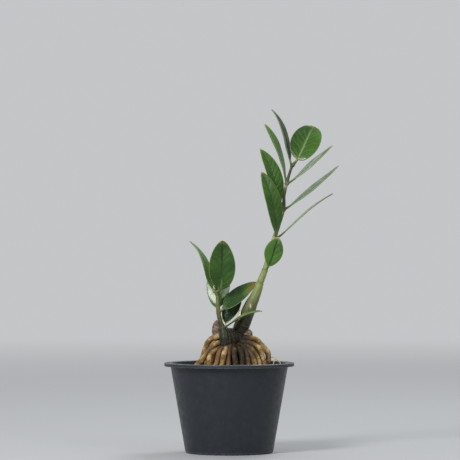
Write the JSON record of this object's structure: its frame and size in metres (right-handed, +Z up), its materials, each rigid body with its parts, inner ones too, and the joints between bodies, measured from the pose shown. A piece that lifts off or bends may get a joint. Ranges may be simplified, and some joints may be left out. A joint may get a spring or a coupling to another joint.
{
  "type": "potted zz plant",
  "caption": "Young potted ZZ plant: a tall and a short shoot of glossy leaflets on a rhizome held up by arching roots, in a dark plastic nursery pot.",
  "frame": {"origin": "centre of the pot's underside, on the surface that it stands on", "axes": "+Z up, along the plant; the picture looks along +Y, with +X to the right, so the tall shoot leans to +X"},
  "size_m": [0.1743, 0.13, 0.3449],
  "materials": {
    "pot_plastic": "satin",
    "potting_mix": "matte",
    "root_bark": "matte",
    "dry_scale": "matte",
    "stem_skin": "satin",
    "leaf_blade": "gloss"
  },
  "bodies": {
    "root": {"pot": "pot_plastic", "soil": "potting_mix", "rhizome_with_roots": "root_bark", "scale_leaf": "dry_scale", "tall_stem": "stem_skin", "short_stem": "stem_skin", "tall_leaflet_lower_front": "leaf_blade", "tall_leaflet_left_front": "leaf_blade", "tall_leaflet_left_middle": "leaf_blade", "tall_leaflet_left_back": "leaf_blade", "tall_leaflet_top_left": "leaf_blade", "tall_leaflet_top_right": "leaf_blade", "tall_leaflet_right_upper": "leaf_blade", "tall_leaflet_right_middle": "leaf_blade", "tall_leaflet_right_lower": "leaf_blade", "short_leaflet_front": "leaf_blade", "short_leaflet_upper_left": "leaf_blade", "short_leaflet_back": "leaf_blade", "short_leaflet_right": "leaf_blade", "short_leaflet_lower_back": "leaf_blade", "short_leaflet_lower_right": "leaf_blade"}
  },
  "joints": []
}
